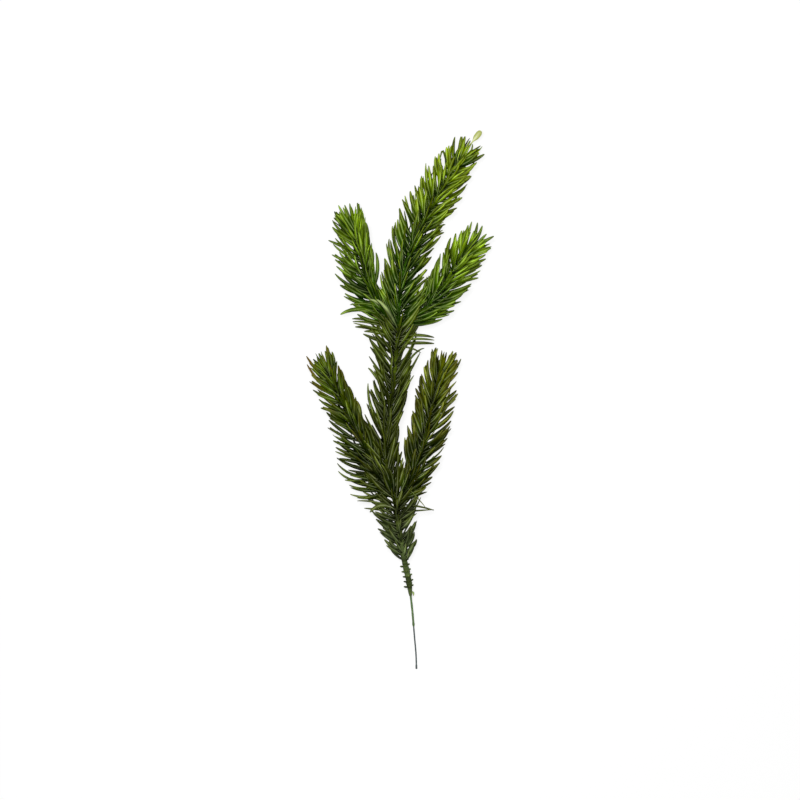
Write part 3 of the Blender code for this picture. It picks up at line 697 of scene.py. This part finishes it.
MIDDLE_REACH = [(0.0, 15, 13, 22, 22), (0.3, 14.5, 8.5, 22, 21), (0.6, 14.5, 10, 23, 22),
                (0.85, 18, 13, 24, 23), (1.0, 19.5, 15.5, 25, 24)]
MIDDLE_STRAYS = [
    ((-3.0, 43, 14), (-17.0, 48.2, 14), (-28.8, 49.2, 11), 2.0),
    ((-3.0, 39, 12), (-16.0, 43.4, 10), (-27.0, 44.4, 7), 2.3),
    ((-3.0, 41, 15), (-15.0, 43.5, 16), (-28.0, 46.8, 14), 1.4),
    ((-3.0, 42, 13), (-16.0, 46.5, 13), (-28.5, 47.6, 9), 1.6),
    ((-3.0, 37, 13), (-13.0, 41.0, 14), (-21.5, 41.7, 10), 2.2),
    ((-2.0, 35.5, 13), (9.0, 37.2, 14), (20.6, 36.4, 12), 1.6),
    ((-3.0, 33, 13), (-13.5, 36.6, 14), (-22.2, 40.2, 12), 2.3),
    ((-4.0, 15, 12), (-12.5, 27.0, 13), (-18.6, 37.6, 11), 1.5),
    ((-6.0, 10, 12), (-13.5, 19.5, 12), (-18.6, 26.9, 9), 1.4),
    ((-7.0, 2, 12), (-14.5, 14.5, 12), (-19.2, 19.8, 10), 1.6),
    ((-7.5, -6, 12), (-13.0, 1.5, 13), (-16.2, 12.5, 12), 1.5),
    ((-10.0, -13, 12), (-17.2, -4.0, 12), (-19.2, 10.7, 10), 1.9),
    ((-2.0, 38, 14), (10.0, 39.4, 16), (20.6, 38.0, 14), 2.0),
    ((-2.0, 34, 12), (10.0, 34.8, 11), (20.6, 34.4, 9), 2.0),
    ((0.0, 32.5, 14), (6.5, 31.6, 16), (12.6, 28.8, 14), 1.2),
    ((-1.0, 14, 12), (7.6, 27.0, 12), (14.7, 31.6, 11), 1.3),
    ((-3.5, 2, 12), (4.6, 15.5, 13), (12.0, 28.8, 12), 1.7),
    ((-5.0, -8, 13), (1.5, 4.6, 15), (8.4, 15.4, 14), 1.5),
]
draw = random.Random(31)
skin = Skin()
add_twig(skin, spine, lower_fork + 0.2, upper_fork + 1.0, lambda share: TWIG_RADIUS, draw)
grow_needles(skin, spine, lower_fork + 1.0, upper_fork, MIDDLE_REACH, draw,
             lambda share: TWIG_RADIUS, parted=0.6)
add_strays(skin, MIDDLE_STRAYS, draw, share=0.9)
middle_finish = needle_finish("mid_green_stem", DARK_ROOT, GREY_SHEEN, young=(0.066, 0.100, 0.004),
                              old=(0.037, 0.050, 0.003), tip=(0.078, 0.102, 0.005))
dress(skin, "middle_stem_moulding", middle_finish, "middle_stem")


# The upper side sprigs: fresher yellow-green plastic, moulded on the stem at the upper fork.
# Their outer sides are the fullest of the spray, and their tips the brightest.

UPPER_LEFT_KNOTS = [(-1.2, 44, 12.5), (-9, 52.5, 12.8), (-16, 62, 12.9), (-20, 73, 12.7),
                    (-23.5, 87.5, 12.0), (-26.5, 101, 10.7), (-29.5, 117, 8.6)]
UPPER_RIGHT_KNOTS = [(-1.2, 44.5, 12.5), (8, 49.5, 12.8), (17, 57.5, 12.9), (25.5, 69, 12.6),
                     (33.5, 81, 11.7), (41, 91, 10.4), (47, 99, 9.2)]
UPPER_LEFT_REACH = [(0.0, 12, 9, 22, 20), (0.2, 13, 8.5, 23, 22), (0.4, 16.5, 8.5, 24, 22),
                    (0.75, 16.5, 7.5, 23, 21), (0.92, 13, 6.5, 19, 18), (1.0, 8, 5, 16, 16)]
UPPER_RIGHT_REACH = [(0.0, 10, 7.5, 20, 21), (0.2, 11, 12.5, 20, 23), (0.5, 12, 15, 20, 24),
                     (0.75, 12, 14, 20, 22), (0.92, 11, 12, 21, 20), (1.0, 8, 9, 19, 17)]
UPPER_LEFT_STRAYS = [
    ((-8.4, 51.5, 12), (-24, 55, 14), (-35.8, 51.8, 9), 2.7),
    ((-16.5, 66, 13), (-13.5, 78, 14), (-14.4, 89, 12.5), 2.3),
    ((-26, 100, 12), (-32, 108.5, 13), (-37, 117.4, 11), 2.1),
    ((-26, 101, 12), (-30, 109, 13), (-33.2, 117.6, 11), 2.1),
    ((-26, 102, 12), (-28.5, 110, 13), (-30.2, 118.6, 10), 2.0),
    ((-11, 55.0, 15), (-20, 58.2, 17), (-30, 57.5, 15), 1.6),
]
UPPER_RIGHT_STRAYS = [
    ((41.5, 89.5, 11), (49, 94.6, 13), (56.3, 98.8, 12), 2.4),
    ((40.5, 90, 12), (44.5, 98.5, 12.5), (46.5, 107, 11), 2.1),
    ((41.5, 90, 11), (46.5, 98, 11.5), (49.4, 105.2, 10), 2.1),
    ((42, 89, 12), (47.5, 95.5, 12.5), (52, 100.2, 11), 2.0),
    ((20, 70, 13), (22.5, 78, 14), (24.2, 88.5, 12), 1.6),
    ((10.5, 55, 13), (13.5, 64, 14), (16.3, 74.5, 12), 2.0),
]
# The fresh root colour is partly the plastic's own darker root and partly painted shade.
FRESH_ROOT = (0.008, 0.027, 0.001)
# This pale colour is a painted highlight along the fresh needles' keels.
FRESH_SHEEN = (0.430, 0.500, 0.200)

upper_finish = needle_finish("fresh_green_side", FRESH_ROOT, FRESH_SHEEN,
                             young=(0.200, 0.335, 0.005), old=(0.025, 0.072, 0.001),
                             tip=(0.160, 0.255, 0.008))
make_sprig("upper_left_moulding", UPPER_LEFT_KNOTS, UPPER_LEFT_REACH, UPPER_LEFT_STRAYS,
           upper_finish, "upper_left_sprig", seed=41)
make_sprig("upper_right_moulding", UPPER_RIGHT_KNOTS, UPPER_RIGHT_REACH, UPPER_RIGHT_STRAYS,
           upper_finish, "upper_right_sprig", seed=42, rust=0.15)


# The leader: the spray's own tip, bent to the right, in the brightest plastic. It thins to a
# neck that ends in a flat pale tag, where the melt entered the mould.

LEADER_REACH = [(0.0, 13, 15, 24, 22), (0.25, 12.5, 16, 25, 23), (0.5, 17, 14.5, 25, 22),
                (0.75, 15.5, 13, 22, 21), (0.9, 12, 11, 18, 19), (1.0, 6, 7.5, 15, 17)]
LEADER_STRAYS = [
    ((28.2, 139, 14), (25.9, 149.6, 16), (24.0, 144.4, 15), 1.3),
    ((1.5, 84, 13), (-3.2, 94, 14), (-4.6, 105, 12), 1.8),
    ((35.5, 139, 11), (39.8, 149.0, 11.5), (43.0, 154.4, 10.5), 1.3),
    ((38.5, 140, 11), (42.2, 148.0, 11.5), (43.6, 154.2, 10.5), 1.3),
]
LEADER_RUST = 0.25
# Two pale needles lie on top of the others at the upper fork, painted pale as lit needles that face
# the lamp: a painted highlight.
PALE_STRAYS = [
    ((-1.8, 44, 18), (-7.6, 54.4, 23), (-13.8, 60.6, 24), 2.2),
    ((-12.0, 57, 18), (-14.6, 59.6, 22), (-18.4, 60.6, 22), 1.6),
]
PALE_GREEN = (0.240, 0.310, 0.110)
TAG_LENGTH = 8.5
TAG_HALF_WIDTH = 1.75
TAG_FLATNESS = 0.28
# The tag's outline, as shares of its length and of its half width, and its neck's radii.
TAG_OUTLINE = np.array([(0.1, 0.3), (0.2, 0.5), (0.32, 0.78), (0.45, 0.94), (0.6, 1.0),
                        (0.75, 0.98), (0.88, 0.84), (0.96, 0.6), (1.0, 0.3)])
NECK_RADII = np.linspace(0.7, 0.42, 9)
TAG_PALE = (0.400, 0.440, 0.110)
TAG_GREEN = (0.310, 0.390, 0.070)

draw = random.Random(51)
skin = Skin()
leader_twig_end = spine.length - TAG_LENGTH - TIP_BARE
add_twig(skin, spine, upper_fork, leader_twig_end, sprig_radius, draw)
grow_needles(skin, spine, upper_fork + 1.5, leader_twig_end, LEADER_REACH, draw, sprig_radius,
             LEADER_RUST)
add_tuft(skin, spine, leader_twig_end, LEADER_REACH, draw, LEADER_RUST)
add_strays(skin, LEADER_STRAYS, draw, share=0.7)
leader_finish = needle_finish("fresh_green_leader", FRESH_ROOT, FRESH_SHEEN,
                              young=(0.180, 0.276, 0.001), old=(0.022, 0.064, 0.001),
                              tip=(0.196, 0.272, 0.003))
dress(skin, "leader_moulding", leader_finish, "leader")

skin = Skin()
add_strays(skin, PALE_STRAYS, draw, share=1.0)
# Their finish is a paler copy of the green plastic, a painted highlight.
pale_finish = needle_finish("pale_needle_green", FRESH_ROOT, FRESH_SHEEN, young=PALE_GREEN,
                            old=PALE_GREEN, tip=(0.250, 0.320, 0.110))
pale = skin.piece("pale_needles", pale_finish)
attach(pale, "root")

tag_start = spine.length - TAG_LENGTH
tag_stations = np.r_[np.linspace(leader_twig_end - 1, tag_start, len(NECK_RADII)),
                     tag_start + TAG_LENGTH * TAG_OUTLINE[:, 0]]
tag_widths = np.r_[NECK_RADII, TAG_HALF_WIDTH * TAG_OUTLINE[:, 1]]
skin = Skin()
skin.tube(spine, tag_stations, tag_widths, sides=14, flat=TAG_FLATNESS,
          along=np.clip((tag_stations - leader_twig_end) / (TIP_BARE + 2), 0, 1)[:, None])
tag_finish = plain_finish("pale_tag", TAG_GREEN, TAG_PALE, rough=0.4, metal=0.0, depth=0.2)
tag = skin.piece("mould_tag", tag_finish)
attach(tag, "root")


# The studio: a plain white table that gives off some light of its own, under one wide soft light
# from the upper left, and a long lens straight above that looks down on the spray.

TABLE_SIZE = 4.0
TABLE_GREY = (0.16, 0.16, 0.16)
TABLE_GLOW = 0.84
WHITE = (1.0, 1.0, 1.0)
ROOM_LIGHT = 0.05
LAMP_PLACE = (-0.10, 0.16, 1.5)
LAMP_SIZE = 0.5
LAMP_WATTS = 25
FRAME_WIDTH = 0.480
LENS = 250.0
SENSOR = 36.0
TWIG_HEIGHT = 0.010

table_mesh = bpy.data.meshes.new("table")
half = TABLE_SIZE / 2
corners = [(-half, -half, 0), (half, -half, 0), (half, half, 0), (-half, half, 0)]
table_mesh.from_pydata(corners, [], [(0, 1, 2, 3)])
table = bpy.data.objects.new("table", table_mesh)
bpy.context.scene.collection.objects.link(table)
table_paint = bpy.data.materials.new("white_table")
table_paint.use_nodes = True
table_shader = table_paint.node_tree.nodes["Principled BSDF"]
table_shader.inputs["Base Color"].default_value = colour(TABLE_GREY)
table_shader.inputs["Emission Color"].default_value = colour(WHITE)
table_shader.inputs["Emission Strength"].default_value = TABLE_GLOW
table_shader.inputs["Roughness"].default_value = 0.9
table_shader.inputs["Specular IOR Level"].default_value = 0.1
table_mesh.materials.append(table_paint)

world = bpy.data.worlds.new("studio")
world.use_nodes = True
backdrop = world.node_tree.nodes["Background"]
backdrop.inputs["Color"].default_value = colour(WHITE)
backdrop.inputs["Strength"].default_value = ROOM_LIGHT
bpy.context.scene.world = world

lamp_data = bpy.data.lights.new("key", "AREA")
lamp_data.shape = "SQUARE"
lamp_data.size = LAMP_SIZE
lamp_data.energy = LAMP_WATTS
lamp = bpy.data.objects.new("key", lamp_data)
lamp.location = LAMP_PLACE
aim_x, aim_y, aim_z = -np.array(LAMP_PLACE)
lamp.rotation_euler = (math.atan2(math.hypot(aim_x, aim_y), -aim_z), 0,
                       math.atan2(aim_x, -aim_y) + math.pi)
bpy.context.scene.collection.objects.link(lamp)

camera_data = bpy.data.cameras.new("camera")
camera_data.lens = LENS
camera_data.sensor_width = SENSOR
camera = bpy.data.objects.new("camera", camera_data)
camera.location = (0, 0, TWIG_HEIGHT + FRAME_WIDTH * LENS / SENSOR)
bpy.context.scene.collection.objects.link(camera)
bpy.context.scene.camera = camera
bpy.context.scene.view_settings.view_transform = "Standard"
